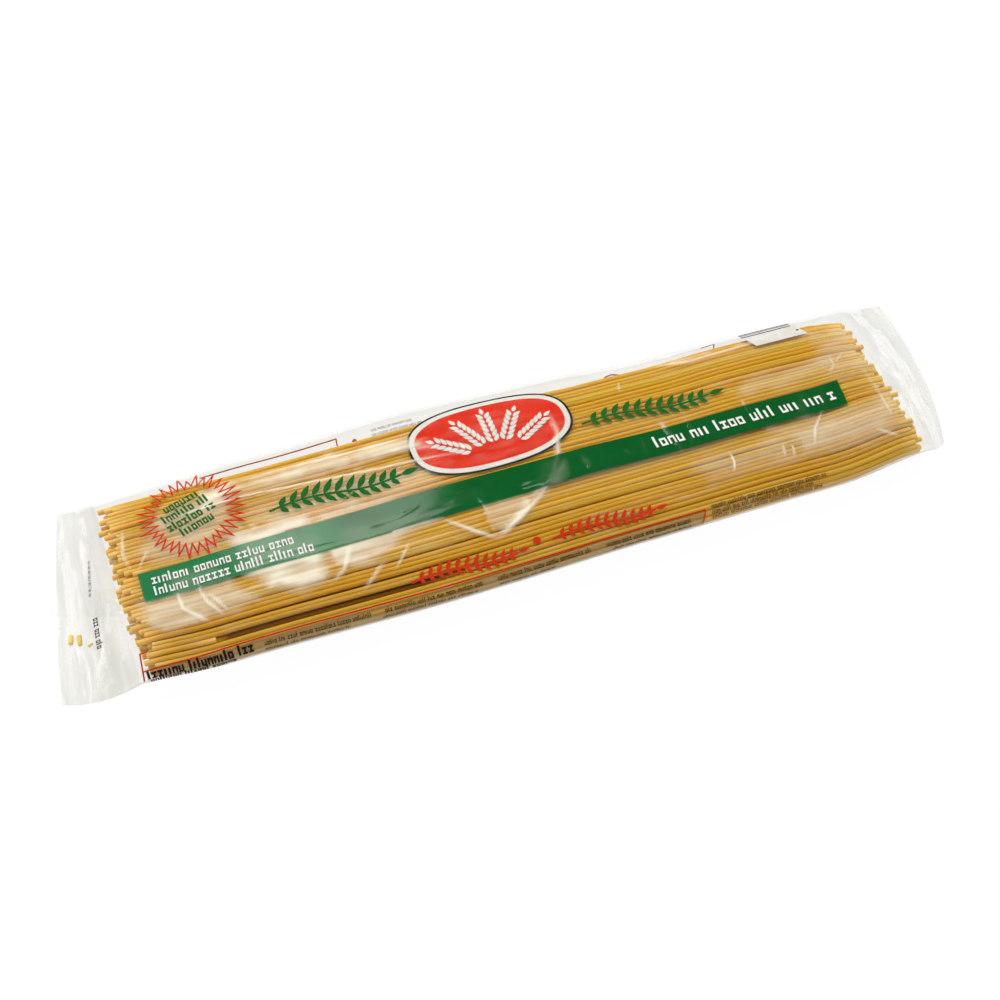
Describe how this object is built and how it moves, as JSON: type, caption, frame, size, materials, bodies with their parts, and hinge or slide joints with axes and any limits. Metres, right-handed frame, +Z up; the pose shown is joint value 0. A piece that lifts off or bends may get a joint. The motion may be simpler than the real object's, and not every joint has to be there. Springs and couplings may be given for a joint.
{
  "type": "pasta packet",
  "caption": "Sealed clear-film bag filled with dry spaghetti, lying flat, with a printed upper side and a flat sealed fin at each end.",
  "frame": {"origin": "on the surface the packet lies on, under the middle of its bounding box", "axes": "+X along the strands towards the end that is at the right in the picture, +Y across the packet towards the long edge that is farther away there, +Z up out of the printed side"},
  "size_m": [0.2941, 0.0715, 0.0141],
  "materials": {
    "pasta_in_film": "strands of dry spaghetti seen through tight glossy clear film"
  },
  "bodies": {
    "root": {"sealed_bag": "pasta_in_film"}
  },
  "joints": []
}
